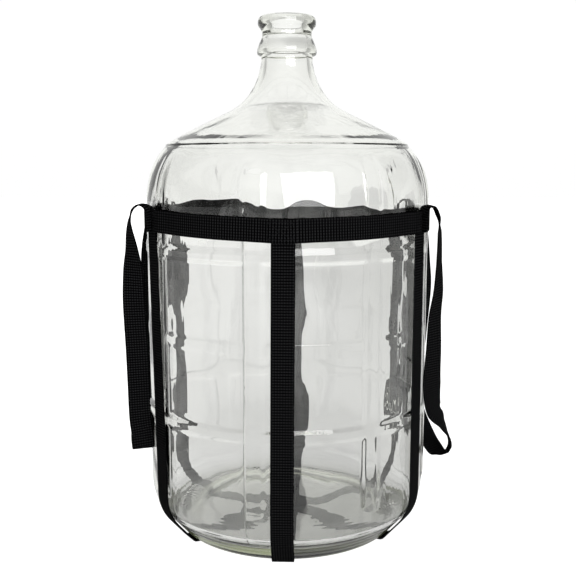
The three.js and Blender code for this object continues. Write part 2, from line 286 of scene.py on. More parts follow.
def glass_relief(nodes, links):
    """Height of the glass's finest relief, in metres: streaks all over, and a knurl at the base."""
    place = nodes.new("ShaderNodeTexCoord")
    split = nodes.new("ShaderNodeSeparateXYZ")
    links.new(place.outputs["Object"], split.inputs[0])
    azimuth = math_node(nodes, links, "ARCTAN2", split.outputs["Y"], split.outputs["X"])
    turns = math_node(nodes, links, "MULTIPLY", azimuth, KNURL_COUNT)
    knurl = math_node(nodes, links, "SINE", turns)
    near_base = nodes.new("ShaderNodeMapRange")
    set_inputs(near_base, {"From Min": KNURL_FULL_BELOW, "From Max": KNURL_GONE_ABOVE,
                           "To Min": KNURL_HEIGHT, "To Max": 0})
    links.new(split.outputs["Z"], near_base.inputs["Value"])
    streak = stretched_noise(nodes, links, place.outputs["Object"], STREAKS_PER_METRE, STREAK_DETAIL)
    streaks = math_node(nodes, links, "MULTIPLY", streak, STREAK_HEIGHT)
    return math_node(nodes, links, "MULTIPLY_ADD", knurl, near_base.outputs[0], streaks)


def glass_material():
    """Clear moulded glass, a faint olive where it is thick."""
    material, nodes, links = new_material("clear_glass")
    set_inputs(nodes["Principled BSDF"], {
        "Base Color": WHITE, "Transmission Weight": 1, "IOR": GLASS_IOR, "Roughness": 0})
    add_relief(nodes, links, glass_relief(nodes, links), strength=1, distance=1)
    absorb = nodes.new("ShaderNodeVolumeAbsorption")
    set_inputs(absorb, {"Color": GLASS_TINT, "Density": GLASS_DENSITY})
    links.new(absorb.outputs["Volume"], nodes["Material Output"].inputs["Volume"])
    return material


# ------------------------------------------------------------------ webbing's weave and thread

WARP_PITCH = 2.3 * MM
WEFT_PITCH = 2.4 * MM
WEAVE_DRIFT_SCALE = 60
WEAVE_DRIFT_DETAIL = 2
WEAVE_DRIFT_ANGLE = 2.2
BEAD_FLOOR = 0.3
FIBRES_PER_METRE = (5200, 900, 1)
FIBRE_DETAIL = 3
FIBRE_SHARE = 0.25
WEAVE_HEIGHT = 0.35 * MM
WEAVE_STRENGTH = 0.8
# The weave's colour: painted shade in its hollows, a painted highlight on its raised beads.
WEBBING_SHADED_HOLLOW = (0.0002, 0.0002, 0.0003, 1)
WEBBING_LIT_BEAD = (0.0165, 0.0167, 0.0175, 1)
WEBBING_SHADED_UP_TO = 0.3
WEBBING_ROUGHNESS_LOW = 0.8
WEBBING_ROUGHNESS_HIGH = 0.5
WEBBING_SPECULAR = 0.004

THREAD_TWIST_SCALE = 900
THREAD_TWIST_DISTORTION = 2
THREAD_HEIGHT = 0.1 * MM
THREAD_STRENGTH = 0.4
# The thread's colour: painted shade in the twist's grooves, a painted highlight on its ridges.
THREAD_SHADED_GROOVE = (0.0015, 0.0015, 0.0017, 1)
THREAD_LIT_RIDGE = (0.007, 0.007, 0.0075, 1)
THREAD_ROUGHNESS = 0.55
THREAD_SPECULAR = 0.05


def wave(nodes, links, value, pitch, phase):
    """A wave from 0 to 1 that repeats at a pitch."""
    angle = math_node(nodes, links, "MULTIPLY_ADD", value, 2 * math.pi / pitch, phase)
    return math_node(nodes, links, "MULTIPLY_ADD", math_node(nodes, links, "COSINE", angle), 0.5, 0.5)


def woven_beads(nodes, links, across, along):
    """Raised where a warp thread passes over a weft thread. The weft wanders a little."""
    drift = nodes.new("ShaderNodeTexNoise")
    set_inputs(drift, {"Scale": WEAVE_DRIFT_SCALE, "Detail": WEAVE_DRIFT_DETAIL})
    wander = math_node(nodes, links, "MULTIPLY", drift.outputs["Fac"], WEAVE_DRIFT_ANGLE)
    weft = wave(nodes, links, along, WEFT_PITCH, wander)
    warp = wave(nodes, links, across, WARP_PITCH, 0)
    raised = math_node(nodes, links, "MULTIPLY_ADD", warp, 1 - BEAD_FLOOR, BEAD_FLOOR)
    return math_node(nodes, links, "MULTIPLY", weft, raised)


def webbing_material():
    """Black plain-woven webbing, its weave drawn over a map in real metres, with painted shade in the
    weave's hollows and a painted highlight on its beads.
    """
    material, nodes, links = new_material("black_webbing")
    shader = nodes["Principled BSDF"]
    place = nodes.new("ShaderNodeUVMap")
    place.uv_map = "UVMap"
    split = nodes.new("ShaderNodeSeparateXYZ")
    links.new(place.outputs["UV"], split.inputs[0])
    beads = woven_beads(nodes, links, split.outputs["X"], split.outputs["Y"])
    fibre = stretched_noise(nodes, links, place.outputs["UV"], FIBRES_PER_METRE, FIBRE_DETAIL)
    height = math_node(nodes, links, "MULTIPLY_ADD", fibre, FIBRE_SHARE, beads)
    add_relief(nodes, links, height, WEAVE_STRENGTH, WEAVE_HEIGHT)
    # Painted shade and highlight: the colour follows the weave's height, darker in hollows, lighter on
    # beads.
    add_painted_shading(nodes, links, height, WEBBING_SHADED_HOLLOW, WEBBING_LIT_BEAD, WEBBING_SHADED_UP_TO)
    gloss = nodes.new("ShaderNodeMapRange")
    set_inputs(gloss, {"To Min": WEBBING_ROUGHNESS_LOW, "To Max": WEBBING_ROUGHNESS_HIGH})
    links.new(beads, gloss.inputs["Value"])
    links.new(gloss.outputs[0], shader.inputs["Roughness"])
    shader.inputs["Specular IOR Level"].default_value = WEBBING_SPECULAR
    return material


def thread_material():
    """Black sewing thread, twisted: fine slanting bands along each stitch, with painted shade in the
    twist's grooves and a painted highlight on its ridges.
    """
    material, nodes, links = new_material("black_thread")
    where = nodes.new("ShaderNodeTexCoord")
    twist = nodes.new("ShaderNodeTexWave")
    set_inputs(twist, {"Scale": THREAD_TWIST_SCALE, "Distortion": THREAD_TWIST_DISTORTION})
    links.new(where.outputs["Object"], twist.inputs["Vector"])
    add_relief(nodes, links, twist.outputs["Fac"], THREAD_STRENGTH, THREAD_HEIGHT)
    # Painted shade and highlight: the colour follows the twist's height, like its relief.
    add_painted_shading(nodes, links, twist.outputs["Fac"], THREAD_SHADED_GROOVE, THREAD_LIT_RIDGE)
    set_inputs(nodes["Principled BSDF"], {
        "Roughness": THREAD_ROUGHNESS, "Specular IOR Level": THREAD_SPECULAR})
    return material


GLASS = glass_material()
WEBBING = webbing_material()
THREAD = thread_material()


# ------------------------------------------------------------------ bottle

SHOULDER_BOTTOM = 314 * MM
SHOULDER_DEPTH = 34 * MM
SHOULDER_HEIGHT = 58 * MM
CREASE_HEIGHT = 54 * MM
CREASE = SHOULDER_BOTTOM + CREASE_HEIGHT
CREASE_STEP = 2.4 * MM
CREASE_RISE = 1.3
CREASE_FADE = 14 * MM

HEEL_TOP = 31.6 * MM
HEEL_FILLET = 45 * MM
RING_OUTER_RADIUS = 107 * MM
RING_INNER_RADIUS = 97 * MM
RING_FILLET = 3 * MM
PLATE_TOP = 24 * MM
PLATE_STEP = 1.3 * MM
PLATE_EDGE = 0.8 * MM
PLATE_RIDGE = 0.2 * MM
PLATE_RIDGE_PITCH = 5.5 * MM
PLATE_INNER_RADIUS = RING_INNER_RADIUS + 8 * MM
BEAD_RISE = 0.9 * MM
BEAD_HALF = 3 * MM

WALL = 5 * MM
INNER_WALL_BOTTOM = 44 * MM
INNER_FLOOR_CORNER = 20 * MM
INNER_FLOOR_FILLETS = [22 * MM, 14 * MM, 40 * MM]
INNER_FOLLOWS = 0.35

UPRIGHT_COUNT = 8
UPRIGHT_OFFSET_DEG = -12
UPRIGHT_HALF_TOP = 5 * MM
UPRIGHT_HALF_FOOT = 12 * MM
# Heights up the uprights, and how much of a rib's height they have there.
UPRIGHT_RISES = [
    (48 * MM, 0), (56 * MM, 1), (112 * MM, 1), (135 * MM, 0.55), (300 * MM, 0.55),
    (325 * MM, 0.9), (CREASE - 26 * MM, 0.9), (CREASE - 8 * MM, 0)]
# Height of each hoop's middle, and how much of a rib's height it has.
HOOPS = [(122 * MM, 1.0), (197 * MM, 0.35), (274 * MM, 0.7)]
HOOP_HALF_TOP = 3.5 * MM
HOOP_HALF_FOOT = 6.5 * MM
MOULD_SEAM_DEG = -15.4
MOULD_SEAM_HALF = 0.8 * MM
MOULD_SEAM_HEIGHT = 0.8 * MM
MOULD_SEAM_HEIGHT_BEHIND = 0.1 * MM

RIPPLE_HEIGHT = 0.36 * MM
RIPPLE_SEED = 7
RIPPLE_WAVES = 24
RIPPLE_TURNS = 19
RIPPLE_SHORTEST_MM = 32
RIPPLE_LONGEST_MM = 150
RIPPLE_FROM_RADIUS = 40 * MM
RIPPLE_FADE_IN = 60 * MM
RIPPLE_FULL = 0.99

# The outlines that are neither straight nor an arc: radius and height, in millimetres.
UNDERSIDE_OUTLINE = [(0, 12), (40, 11.4), (72, 9), (87, 5.6), (94, 2.5)]
FLARE_OUTLINE = [
    (111.5, 368), (101.3, 374.6), (83.8, 384.2), (64.4, 393.7), (54.9, 398.5), (46.9, 403.2),
    (41.4, 408), (37.2, 412.6), (33.9, 417.3), (31.1, 422), (28.8, 426.6), (26.2, 434.5),
    (24.3, 443), (24, 446.5)]
MOUTH_OUTLINE = [
    (24.1, 448.3), (25.4, 449.7), (27.2, 450.6), (27.9, 453), (27.6, 456), (26.4, 459.5),
    (24.9, 463), (23.6, 466), (23.1, 469), (23.5, 472), (25.1, 474.6), (26.8, 476.8),
    (27.2, 480), (26.7, 482.6), (25.2, 484.6), (23.4, 485.4)]
RIM_OUTLINE = [(22, 485.5), (18.5, 485.5)]
BORE_OUTLINE = [
    (17.9, 485.1), (16.6, 483.4), (16.1, 480), (16.2, 473), (17.6, 467), (18.8, 462),
    (19.2, 455), (19.1, 446), (19.9, 436), (22.6, 427), (26.4, 419.5), (30.6, 413.3),
    (36.4, 406), (44, 398.9), (52, 393.8), (62.1, 388.6), (81.4, 379.2), (98.9, 370.1),
    (106.5, 366)]
INNER_FLOOR_OUTLINE = [(102, 17.2), (60, 21), (0, 23)]

# How closely the bottle's rows and columns of points lie.
UNDERSIDE_STEPS = 5
HEEL_ROW = 0.7 * MM
HEEL_FILLET_STEPS = 10
OUTER_ROW = 1.8 * MM
OUTER_ROW_LEAST = 1 * MM
OUTER_SHOULDER_STEPS = 34
FLARE_STEPS = 4
MOUTH_AND_BORE_STEPS = 3
INNER_ROW = 4 * MM
INNER_SHOULDER_STEPS = 16
INNER_FLOOR_STEPS = 7
RIB_FLANK_COLUMNS = 7
RIB_TOP_COLUMNS = 5
BETWEEN_RIBS_COLUMNS = 25
MOULD_SEAM_COLUMNS = 9
AZIMUTH_DECIMALS = 6


def smooth_outline(outline, per_span):
    return catmull_rom(np.array(outline) * MM, per_span)[0]


def shoulder_arc(inset, steps):
    angles = np.linspace(0, math.asin(CREASE_HEIGHT / SHOULDER_HEIGHT), steps)
    radius = BODY_RADIUS - SHOULDER_DEPTH + (SHOULDER_DEPTH - inset) * np.cos(angles)
    height = SHOULDER_BOTTOM + (SHOULDER_HEIGHT - inset) * np.sin(angles)
    return np.stack([radius, height], 1)


def heel_outline():
    """From the ring that the bottle stands on, round the heel to the foot of the straight wall."""
    corners = [(RING_INNER_RADIUS, BOTTLE_BASE), (RING_OUTER_RADIUS, BOTTLE_BASE),
               (BODY_RADIUS, HEEL_TOP), (BODY_RADIUS, 2 * HEEL_TOP)]
    heel = rounded_polyline(corners, [RING_FILLET, HEEL_FILLET], HEEL_FILLET_STEPS)[:-1]
    heel = evenly(heel, HEEL_ROW)
    below_edge = np.clip((PLATE_TOP - heel[:, 1]) / PLATE_EDGE, 0, 1)
    ridges = PLATE_RIDGE * np.cos(2 * math.pi * (PLATE_TOP - heel[:, 1]) / PLATE_RIDGE_PITCH)
    on_side = heel[:, 0] > PLATE_INNER_RADIUS
    heel[:, 0] -= (PLATE_STEP + ridges) * below_edge * on_side
    heel[:, 0] += BEAD_RISE * bump(heel[:, 1] - PLATE_TOP - BEAD_HALF, 0, BEAD_HALF)
    return heel


def outer_profile():
    """Radius and height of the outside, from the middle of the underside up to the mouth."""
    underside = smooth_outline(UNDERSIDE_OUTLINE, UNDERSIDE_STEPS)
    heel = heel_outline()
    rise = np.arange(heel[-1][1] + OUTER_ROW, SHOULDER_BOTTOM - OUTER_ROW_LEAST, OUTER_ROW)
    wall = np.stack([np.full_like(rise, BODY_RADIUS), rise], 1)
    shoulder = shoulder_arc(0, OUTER_SHOULDER_STEPS)
    flare = smooth_outline(FLARE_OUTLINE, FLARE_STEPS)
    mouth = smooth_outline(MOUTH_OUTLINE, MOUTH_AND_BORE_STEPS)
    rim = np.array(RIM_OUTLINE) * MM
    return np.vstack([underside, heel, wall, shoulder, flare[1:], mouth, rim])


def inner_profile():
    """Radius and height of the inside, from the mouth down to the middle of the floor."""
    bore = smooth_outline(BORE_OUTLINE, MOUTH_AND_BORE_STEPS)
    shoulder = shoulder_arc(WALL, INNER_SHOULDER_STEPS)[::-1]
    inner_radius = BODY_RADIUS - WALL
    fall = np.arange(SHOULDER_BOTTOM - INNER_ROW, INNER_WALL_BOTTOM + INNER_ROW, -INNER_ROW)
    wall = np.stack([np.full_like(fall, inner_radius), fall], 1)
    corners = [(inner_radius, INNER_WALL_BOTTOM), (inner_radius, INNER_FLOOR_CORNER)]
    corners += [(radius * MM, height * MM) for radius, height in INNER_FLOOR_OUTLINE]
    floor = rounded_polyline(corners, INNER_FLOOR_FILLETS, INNER_FLOOR_STEPS)
    return np.vstack([bore, shoulder, wall, floor])


def column_azimuths():
    """Azimuths of the bottle's columns: close together on the flanks of each upright rib."""
    foot = UPRIGHT_HALF_FOOT / BODY_RADIUS
    top = UPRIGHT_HALF_TOP / BODY_RADIUS
    pitch = 2 * math.pi / UPRIGHT_COUNT
    spans = [(-foot, -top, RIB_FLANK_COLUMNS), (-top, top, RIB_TOP_COLUMNS),
             (top, foot, RIB_FLANK_COLUMNS), (foot, pitch - foot, BETWEEN_RIBS_COLUMNS)]
    sector = np.concatenate([np.linspace(*span)[:-1] for span in spans])
    across_seam = np.linspace(-1, 1, MOULD_SEAM_COLUMNS) * MOULD_SEAM_HALF / BODY_RADIUS
    seam = math.radians(MOULD_SEAM_DEG) + across_seam
    ribbed = [sector + k * pitch + math.radians(UPRIGHT_OFFSET_DEG) for k in range(UPRIGHT_COUNT)]
    columns = np.concatenate(ribbed + [seam, seam + math.pi])
    return np.unique(np.round(columns % (2 * math.pi), AZIMUTH_DECIMALS))


def rib_relief(azimuth, height):
    """How far the moulded ribs and the shoulder's crease stand out, in rib heights."""
    pitch = 2 * math.pi / UPRIGHT_COUNT
    turned = azimuth - math.radians(UPRIGHT_OFFSET_DEG)
    sideways = (turned - pitch * np.round(turned / pitch)) * BODY_RADIUS
    upright = bump(sideways, UPRIGHT_HALF_TOP, UPRIGHT_HALF_FOOT)
    upright = upright * np.interp(height, *zip(*UPRIGHT_RISES))
    hoops = sum(
        rise * bump(height - middle, HOOP_HALF_TOP, HOOP_HALF_FOOT) for middle, rise in HOOPS)
    step = np.clip((height - CREASE + CREASE_STEP) / CREASE_STEP, 0, 1)
    fade = np.clip((CREASE + CREASE_FADE - height) / CREASE_FADE, 0, 1)
    ledge = CREASE_RISE * eased(step) * fade
    return np.maximum(np.maximum(upright, hoops), ledge)


def mould_seam(azimuth, height):
    """Height of the fine ridge up each side of the body where the mould's halves met."""
    from_seam = azimuth - math.radians(MOULD_SEAM_DEG)
    nearest = (from_seam + math.pi / 2) % math.pi - math.pi / 2
    rise = np.where(np.cos(from_seam) > 0, MOULD_SEAM_HEIGHT, MOULD_SEAM_HEIGHT_BEHIND)
    on_wall = (height > PLATE_TOP) & (height < SHOULDER_BOTTOM)
    return rise * bump(nearest * BODY_RADIUS, 0, MOULD_SEAM_HALF) * on_wall


def ripple(azimuth, height):
    """A slow unevenness of blown glass, about -1 to 1, the same on every run."""
    random = np.random.default_rng(RIPPLE_SEED)
    total = np.zeros(np.broadcast(azimuth, height).shape)
    for _ in range(RIPPLE_WAVES):
        turns = random.integers(0, RIPPLE_TURNS)
        wavelength = random.uniform(RIPPLE_SHORTEST_MM, RIPPLE_LONGEST_MM) * MM
        phase_round, phase_up = random.uniform(0, 2 * math.pi, 2)
        across = np.cos(turns * azimuth + phase_round)
        total += across * np.cos(2 * math.pi * height / wavelength + phase_up)
    return total / math.sqrt(RIPPLE_WAVES)


def outer_surface(azimuth):
    """Radii and heights of the outside, one row for each point of its profile."""
    profile = outer_profile()
    height = profile[:, 1][:, None]
    radius = profile[:, 0][:, None] + RIB_HEIGHT * rib_relief(azimuth, height)
    radius = radius + mould_seam(azimuth, height)
    return np.broadcast_arrays(radius, height)


def inner_surface(azimuth):
    """Radii and heights of the inside, which ripples and faintly follows the ribs."""
    profile = inner_profile()
    plain = profile[:, 0][:, None]
    height = profile[:, 1][:, None]
    in_body = np.clip((plain - RIPPLE_FROM_RADIUS) / RIPPLE_FADE_IN, 0, 1)
    waviness = RIPPLE_HEIGHT * ripple(azimuth, height) * in_body
    follow = INNER_FOLLOWS * RIB_HEIGHT * rib_relief(azimuth, height) * (in_body > RIPPLE_FULL)
    radius = np.where(plain > 0, plain + waviness + follow, 0)
    return np.broadcast_arrays(radius, height)


def make_bottle():
    """One closed skin: up the outside, over the rim, down the inside, with a point at each end."""
    azimuth = column_azimuths()[None, :]
    outer_radii, outer_heights = outer_surface(azimuth)
    inner_radii, inner_heights = inner_surface(azimuth)
    radii = np.vstack([outer_radii, inner_radii])
    heights = np.vstack([outer_heights, inner_heights])
    grid = np.stack([radii * np.sin(azimuth), -radii * np.cos(azimuth), heights], 2)[1:-1]
    rows, columns = grid.shape[:2]
    ends = [(0, 0, heights[0, 0]), (0, 0, heights[-1, 0])]
    vertices = np.vstack([grid.reshape(-1, 3), ends])
    under_centre, floor_centre = rows * columns, rows * columns + 1
    index = np.arange(rows * columns).reshape(rows, columns)
    ahead = np.roll(index, -1, 1)
    faces = list(np.stack([index[:-1], ahead[:-1], ahead[1:], index[1:]], 2).reshape(-1, 4))
    faces += [(under_centre, ahead[0, column], index[0, column]) for column in range(columns)]
    faces += [(floor_centre, index[-1, column], ahead[-1, column]) for column in range(columns)]
    return new_object("carboy_glass", vertices, faces, GLASS)


# ------------------------------------------------------------------ webbing

ROW_STEP = WEFT_PITCH / 2
COLUMN_STEP = WARP_PITCH / 2
WEAVE_RELIEF = 0.05 * MM
EDGE_ROUNDING = 0.55 * MM
# The rounded edge of a strip: shares of the rounding across it, and of half its thickness.
EDGE_ARC = [(0.8, 0.6), (1, 0), (0.8, -0.6)]


def webbing_section():
    """Points round a strip's section: across, out, and which way the weave moves each one."""
    half_width = WEBBING_WIDTH / 2 - EDGE_ROUNDING
    half_thickness = WEBBING_THICKNESS / 2
    count = int(round(2 * half_width / COLUMN_STEP)) + 1
    flat = np.linspace(-half_width, half_width, count)
    sign = np.where(np.arange(count) % 2, 1.0, -1.0)
    edge_across = half_width + EDGE_ROUNDING * np.array([share for share, _ in EDGE_ARC])
    edge_out = half_thickness * np.array([share for _, share in EDGE_ARC])
    edge_weave = np.zeros(len(EDGE_ARC))
    face_out = np.full(count, half_thickness)
    across = np.concatenate([flat, edge_across, flat[::-1], -edge_across])
    out = np.concatenate([face_out, edge_out, -face_out, -edge_out])
    weave = np.concatenate([sign, edge_weave, -sign[::-1], edge_weave])
    return across, out, weave


def webbing_map(section_across, run):
    """The weave's map in metres, across and along, for each corner of a strip's faces."""
    rows, columns = len(run), len(section_across)
    across = section_across + WEBBING_WIDTH / 2
    corners = np.zeros((rows - 1, columns, 4, 2))
    corners[:, :, 0, 0] = corners[:, :, 1, 0] = across
    corners[:, :, 2, 0] = corners[:, :, 3, 0] = np.roll(across, -1)
    corners[:, :, 0, 1] = corners[:, :, 3, 1] = run[:-1, None]
    corners[:, :, 1, 1] = corners[:, :, 2, 1] = run[1:, None]
    first_cap = np.stack([across, np.full(columns, run[0])], 1)
    last_cap = np.stack([across[::-1], np.full(columns, run[-1])], 1)
    return np.concatenate([corners.reshape(-1, 2), first_cap, last_cap])


def make_webbing(name, route, across):
    """A woven strip along an even route. across holds the direction of its width at each point."""
    along = np.gradient(route, axis=0)
    along /= np.linalg.norm(along, axis=1)[:, None]
    across = across - (across * along).sum(1)[:, None] * along
    across /= np.linalg.norm(across, axis=1)[:, None]
    out = np.cross(along, across)
    section_across, section_out, weave = webbing_section()
    rows, columns = len(route), len(section_across)
    alternate = np.where(np.arange(rows) % 2, 1.0, -1.0)
    alternate[[0, -1]] = 0
    lift = section_out[None, :] + WEAVE_RELIEF * alternate[:, None] * weave[None, :]
    sideways = across[:, None] * section_across[None, :, None]
    vertices = route[:, None] + sideways + out[:, None] * lift[:, :, None]
    index = np.arange(rows * columns).reshape(rows, columns)
    ahead = np.roll(index, -1, 1)
    faces = list(np.stack([index[:-1], index[1:], ahead[1:], ahead[:-1]], 2).reshape(-1, 4))
    faces += [tuple(index[0]), tuple(index[-1][::-1])]
    run = np.arange(rows) * np.linalg.norm(route[1] - route[0])
    uvs = webbing_map(section_across, run)
    return new_object(name, vertices.reshape(-1, 3), faces, WEBBING, uvs)


def around_axis(azimuth, radius, height):
    """Points at azimuths, radii and heights about the bottle's axis."""
    return np.stack([radius * np.sin(azimuth), -radius * np.cos(azimuth), height + 0 * azimuth], -1)


STRAP_GAP = 0.25 * MM
STRAP_RADIUS = BODY_RADIUS + RIB_HEIGHT + STRAP_GAP + WEBBING_THICKNESS / 2
STRAP_TOP = 302 * MM
JUNCTION_STRAP_TOP = 294 * MM
STRAP_HEEL_CLEARANCE = 1 * MM
STRAP_FILLETS = [47 * MM, 5 * MM, 12 * MM, 12 * MM]
STRAP_FILLET_STEPS = 8
STRAP_POINT_STEP = 2 * MM
CROSSING_HALF_LENGTH = 19 * MM
CROSSING_RAMP = 16 * MM
LAYER_STEP = WEBBING_THICKNESS + 0.3 * MM


def half_strap(layer, top, azimuth_top, azimuth_bottom):
    """Half a long strap, from under the band down the wall and along the floor to the middle."""
    floor = WEBBING_THICKNESS / 2
    raised = floor + layer * LAYER_STEP
    corners = [
        (STRAP_RADIUS, top), (STRAP_RADIUS, HEEL_TOP + STRAP_HEEL_CLEARANCE),
        (RING_OUTER_RADIUS + STRAP_HEEL_CLEARANCE, floor),
        (CROSSING_HALF_LENGTH + CROSSING_RAMP, floor), (CROSSING_HALF_LENGTH, raised), (0, raised)]
    side = rounded_polyline(corners, STRAP_FILLETS, STRAP_FILLET_STEPS)
    side = evenly(side, STRAP_POINT_STEP)
    drop = np.clip((top - side[:, 1]) / (top - 2 * HEEL_TOP), 0, 1)
    azimuth = np.radians(azimuth_top + (azimuth_bottom - azimuth_top) * drop)
    return around_axis(azimuth, side[:, 0], side[:, 1]), azimuth


def make_long_strap(name, layer, first, second, top):
    """first and second are the azimuths, at the top and the bottom, of the strap's two sides."""
    route_a, azimuth_a = half_strap(layer, top, *first)
    route_b, azimuth_b = half_strap(layer, top, *second)
    route = np.vstack([route_a[:-1], route_b[::-1]])
    azimuth = np.concatenate([azimuth_a[:-1], azimuth_b[::-1]])
    across = np.stack([np.cos(azimuth), np.sin(azimuth), 0 * azimuth], 1)
    across[len(route_a) - 1:] *= -1
    route, across = evenly(route, ROW_STEP, across)
    return make_webbing(name, route, across)


BAND_FRONT_BOTTOM = 286.3 * MM
BAND_SIDE_BOTTOM = 289.2 * MM
BAND_REAR_BOTTOM = 283 * MM
# Azimuths in degrees, and the height of the band's lower edge there.
BAND_BOTTOMS = [
    (-180, BAND_REAR_BOTTOM), (-164, 287.5 * MM), (-148, 291 * MM), (-134, 293.5 * MM),
    (-119, 293 * MM), (-60, 290.5 * MM), (0, BAND_FRONT_BOTTOM), (60, BAND_SIDE_BOTTOM),
    (120, 286 * MM), (150, 284.5 * MM), (180, BAND_REAR_BOTTOM)]
BAND_OVER_GLASS = BODY_RADIUS + 1.0 * MM
BAND_OVER_STRAP = STRAP_RADIUS + WEBBING_THICKNESS / 2 + 0.35 * MM
BAND_POINT_STEP_DEG = 0.5
STRAP_SPACING_DEG = 60
STRAP_HALF_DEG = 4.6
BAND_CLEAR_OF_STRAP_DEG = 10
LAP_START_DEG = -8
LAP_END_DEG = 3.5
LAP_TUCK_DEG = 1
LAP_CLIMB_BEFORE_DEG = 7
LAP_CLIMB_DEG = 5
LAP_GAP = 0.25 * MM


def band_bottom(azimuth_deg):
    """Height of the band's lower edge: it has slipped up at the left rear and down behind."""
    return np.interp(azimuth_deg, *zip(*BAND_BOTTOMS))


def make_band():
    """One length round the bottle, from under the lap at the front to the lap's outer end."""
    start_deg = LAP_START_DEG - LAP_TUCK_DEG
    end_deg = 360 + LAP_END_DEG + BAND_POINT_STEP_DEG / 2
    azimuth_deg = np.arange(start_deg, end_deg, BAND_POINT_STEP_DEG)
    turned = (azimuth_deg + 180) % 360 - 180
    from_strap = np.abs(turned - STRAP_SPACING_DEG * np.round(turned / STRAP_SPACING_DEG))
    over = bump(from_strap, STRAP_HALF_DEG, BAND_CLEAR_OF_STRAP_DEG)
    radius = BAND_OVER_GLASS + (BAND_OVER_STRAP - BAND_OVER_GLASS) * over
    climb_start_deg = 360 + LAP_START_DEG - LAP_CLIMB_BEFORE_DEG
    lap = eased(np.clip((azimuth_deg - climb_start_deg) / LAP_CLIMB_DEG, 0, 1))
    radius = radius + (WEBBING_THICKNESS + LAP_GAP) * lap + WEBBING_THICKNESS / 2
    middle = band_bottom(turned) + WEBBING_WIDTH / 2
    route = around_axis(np.radians(azimuth_deg), radius, middle)
    up = np.tile([0.0, 0.0, 1.0], (len(route), 1))
    route, up = evenly(route, ROW_STEP, up)
    return make_webbing("girth_band_webbing", route, up)


# A handle's route down one leg: x out from the axis, y from the middle, z, all in millimetres,
# and the turn of its width, from lying along Y towards pointing in at the bottle, in degrees.
LEG_UNDER_BAND = [
    (118.6, 66.5, 291, -29), (118.9, 66.6, 300, -29), (119.8, 66.6, 307, -26), (124, 66.2, 312.6, -10)]
LEFT_FRONT_LEG = LEG_UNDER_BAND + [
    (130, 65.7, 314.3, 0), (136, 65.5, 310.6, 5), (139.2, 65.3, 301, 13), (139.6, 65, 291, 25),
    (138, 65, 272, 46), (137.8, 64, 256, 68), (138.2, 62, 228, 88), (137.2, 58, 182, 98),
    (137, 55, 150, 102), (136.6, 53, 116, 106)]
LEFT_BOTTOM = [
    (135.2, -52, 100, 108), (134.6, -51, 88, 110), (137.6, -38, 83, 107), (142, -18, 89, 100),
    (143.4, 4, 100, 90), (143.2, 24, 117, 82)]
LEFT_REAR_LEG = LEG_UNDER_BAND + [
    (130, 65.7, 314.3, 0), (135.6, 65.5, 310.8, 6), (138.8, 65.3, 302, 18), (140, 65, 291, 32),
    (140.8, 64.5, 278, 48), (141.6, 64, 265, 66), (142.2, 62.5, 250, 84), (142, 58, 215, 96),
    (142, 46, 150, 100)]
RIGHT_FRONT_LEG = LEG_UNDER_BAND + [
    (129.5, 65.5, 312.4, 0), (134, 65, 304, 0), (135.8, 64, 290, 17), (136.4, 62, 262, 22),
    (136.6, 60, 236, 34), (134.8, 57, 214, 42), (134.6, 55, 181, 52), (134.4, 51, 148, 63),
    (138.6, 43, 121, 48)]
RIGHT_BOTTOM = [
    (147.4, -34.5, 108.6, 26), (153.2, -25, 98, 9), (158.2, -14, 84.7, 5), (160.4, -5, 74, 8),
    (158.2, 3, 64.2, 42), (153.4, 9, 61.2, 64), (147, 17, 68, 70), (140.4, 33, 80, 76),
    (134.6, 47, 95, 79), (131.6, 55, 110, 79)]
RIGHT_REAR_LEG = LEG_UNDER_BAND + [
    (130, 65.7, 314.3, 0), (136, 65.5, 310.6, 5), (139.2, 65.3, 301, 12), (140, 65, 289, 23),
    (139.8, 64, 272, 38), (139.6, 62, 250, 60), (140.2, 59, 225, 84), (138, 62, 180, 100),
    (133.6, 60, 130, 102)]
POINTS_PER_SPAN = 14


def handle_route(front, bottom, rear, side):
    """Joins a front leg, a bottom and a rear leg into one even route on one side."""
    points = [(x, -y, z, turn) for x, y, z, turn in front] + bottom
    points += [(x, y, z, 180 - turn) for x, y, z, turn in reversed(rear)]
    points = np.array(points, float)
    curve, places = catmull_rom(points[:, :3] * MM, POINTS_PER_SPAN)
    turn = np.radians(np.interp(places, np.arange(len(points)), points[:, 3]))
    across = np.stack([-np.sin(turn), -np.cos(turn), 0 * turn], 1)
    curve[:, 0] *= side
    across[:, 0] *= side
    return evenly(curve, ROW_STEP, across)


def make_handles():
    left = handle_route(LEFT_FRONT_LEG, LEFT_BOTTOM, LEFT_REAR_LEG, -1)
    right = handle_route(RIGHT_FRONT_LEG, RIGHT_BOTTOM, RIGHT_REAR_LEG, 1)
    return make_webbing("left_handle_webbing", *left), make_webbing("right_handle_webbing", *right)


# ------------------------------------------------------------------ stitching

STITCH_LENGTH = 3.2 * MM
STITCH_GAP = 0.9 * MM
STITCH_RADIUS = 0.28 * MM
STITCH_BOX = 14 * MM
# Rings along a stitch: shares of its length from its middle, and of its full width.
STITCH_RINGS = [(-0.5, 0.15), (-0.42, 0.7), (-0.2, 1), (0.2, 1), (0.42, 0.7), (0.5, 0.15)]
STITCH_SIDES = 8
STRAP_SEAMS = {"right_front": 60, "right_rear": 120, "rear": 180, "left_rear": -120, "left_front": -60}
LAP_SEAM_DEG = -2.2
LAP_SEAM_STRETCH = 1.5


def stitch_line(start, end):
    """Middle, direction and length of each stitch along one straight seam on a flat patch."""
    start, end = np.array(start, float), np.array(end, float)
    length = np.linalg.norm(end - start)
    count = max(1, int(round(length / (STITCH_LENGTH + STITCH_GAP))))
    direction = (end - start) / length
    middles = [start + (end - start) * (i + 0.5) / count for i in range(count)]
    return [(middle, direction, length / count - STITCH_GAP) for middle in middles]


